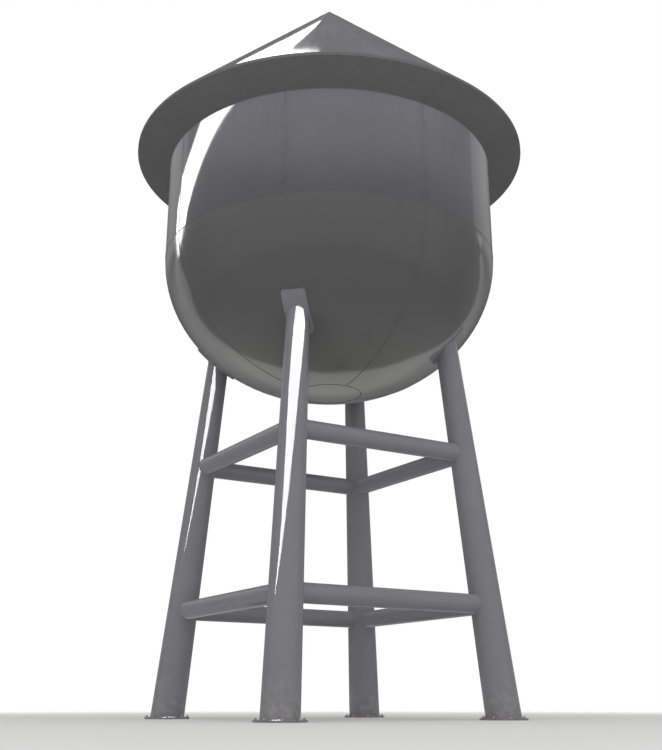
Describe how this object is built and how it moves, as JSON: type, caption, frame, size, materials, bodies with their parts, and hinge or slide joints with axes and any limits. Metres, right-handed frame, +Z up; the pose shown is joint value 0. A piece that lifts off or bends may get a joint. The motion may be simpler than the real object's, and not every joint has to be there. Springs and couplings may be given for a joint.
{
  "type": "water tower",
  "caption": "Elevated steel water tank with a dished bottom and an overhanging pointed roof, on leaning tubular legs tied by level struts.",
  "frame": {"origin": "on the ground, in the middle of the four feet, under the point of the roof", "axes": "+Z up; the sides of the square of feet run along X and Y, with the front towards -Y"},
  "size_m": [7.7, 7.7, 14.51],
  "materials": {
    "tank_paint": "semi-gloss grey paint on welded steel plate",
    "roof_paint": "semi-gloss grey paint on steel sheet",
    "eave_paint": "satin dark grey paint on steel plate",
    "frame_paint": "semi-gloss grey paint on steel tube"
  },
  "bodies": {
    "root": {"tank_wall_1": "tank_paint", "tank_wall_2": "tank_paint", "tank_wall_3": "tank_paint", "tank_wall_4": "tank_paint", "tank_wall_5": "tank_paint", "tank_wall_6": "tank_paint", "tank_wall_7": "tank_paint", "tank_wall_8": "tank_paint", "bowl_panel_1": "tank_paint", "bowl_panel_2": "tank_paint", "bowl_panel_3": "tank_paint", "bowl_panel_4": "tank_paint", "bowl_crown": "tank_paint", "roof_panel_1": "roof_paint", "roof_panel_2": "roof_paint", "roof_panel_3": "roof_paint", "roof_panel_4": "roof_paint", "roof_cap": "roof_paint", "eave_1": "eave_paint", "eave_2": "eave_paint", "eave_3": "eave_paint", "eave_4": "eave_paint", "foot_plate_front_left": "frame_paint", "saddle_front_left": "frame_paint", "leg_front_left": "frame_paint", "foot_plate_front_right": "frame_paint", "saddle_front_right": "frame_paint", "leg_front_right": "frame_paint", "foot_plate_back_right": "frame_paint", "saddle_back_right": "frame_paint", "leg_back_right": "frame_paint", "foot_plate_back_left": "frame_paint", "saddle_back_left": "frame_paint", "leg_back_left": "frame_paint", "lower_strut_front": "frame_paint", "lower_strut_right": "frame_paint", "lower_strut_back": "frame_paint", "lower_strut_left": "frame_paint", "upper_strut_front": "frame_paint", "upper_strut_right": "frame_paint", "upper_strut_back": "frame_paint", "upper_strut_left": "frame_paint"}
  },
  "joints": []
}
